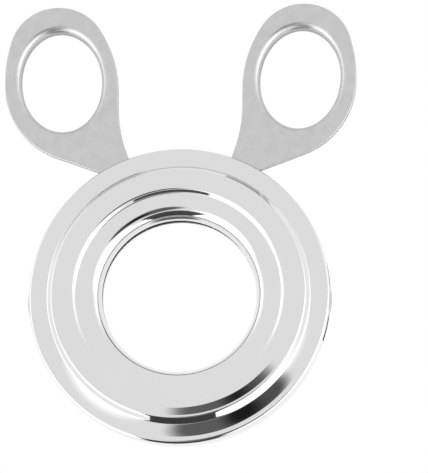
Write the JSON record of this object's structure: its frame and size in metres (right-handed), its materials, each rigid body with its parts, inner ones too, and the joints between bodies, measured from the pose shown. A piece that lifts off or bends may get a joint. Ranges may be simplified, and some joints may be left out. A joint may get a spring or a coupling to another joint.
{
  "type": "egg topper",
  "caption": "Hand-held egg topper: a stepped polished ring with a round egg hole and toothed scissor levers inside, worked by oval finger loops on one side.",
  "frame": {"origin": "centre of the egg hole, halfway between the front and back covers, in the mid-plane of the toothed levers", "axes": "+Z through the egg hole towards the front cover, +Y from the ring towards the finger loops, +X to the right seen from the front"},
  "size_m": [0.0798, 0.1018, 0.0106],
  "materials": {
    "polished_steel": "mirror-polished stainless steel pressing",
    "satin_steel": "satin tumbled stainless steel plate",
    "turned_steel": "turned stainless steel"
  },
  "bodies": {
    "casing": {"front_cover": "polished_steel", "back_cover": "polished_steel", "pivot_pin": "turned_steel", "front_spacer": "turned_steel", "back_spacer": "turned_steel"},
    "left_swing": {"left_lever": "satin_steel"},
    "right_swing": {"right_lever": "satin_steel"}
  },
  "joints": [
    {"name": "left_squeeze", "type": "hinge", "parent": "casing", "child": "left_swing", "pos_m": [0, -0.02525, 0], "axis": [0, 0, -1], "range_deg": [0, 10.2]},
    {"name": "right_squeeze", "type": "hinge", "parent": "casing", "child": "right_swing", "pos_m": [0, -0.02525, 0], "axis": [0, 0, 1], "range_deg": [0, 10.2]}
  ]
}
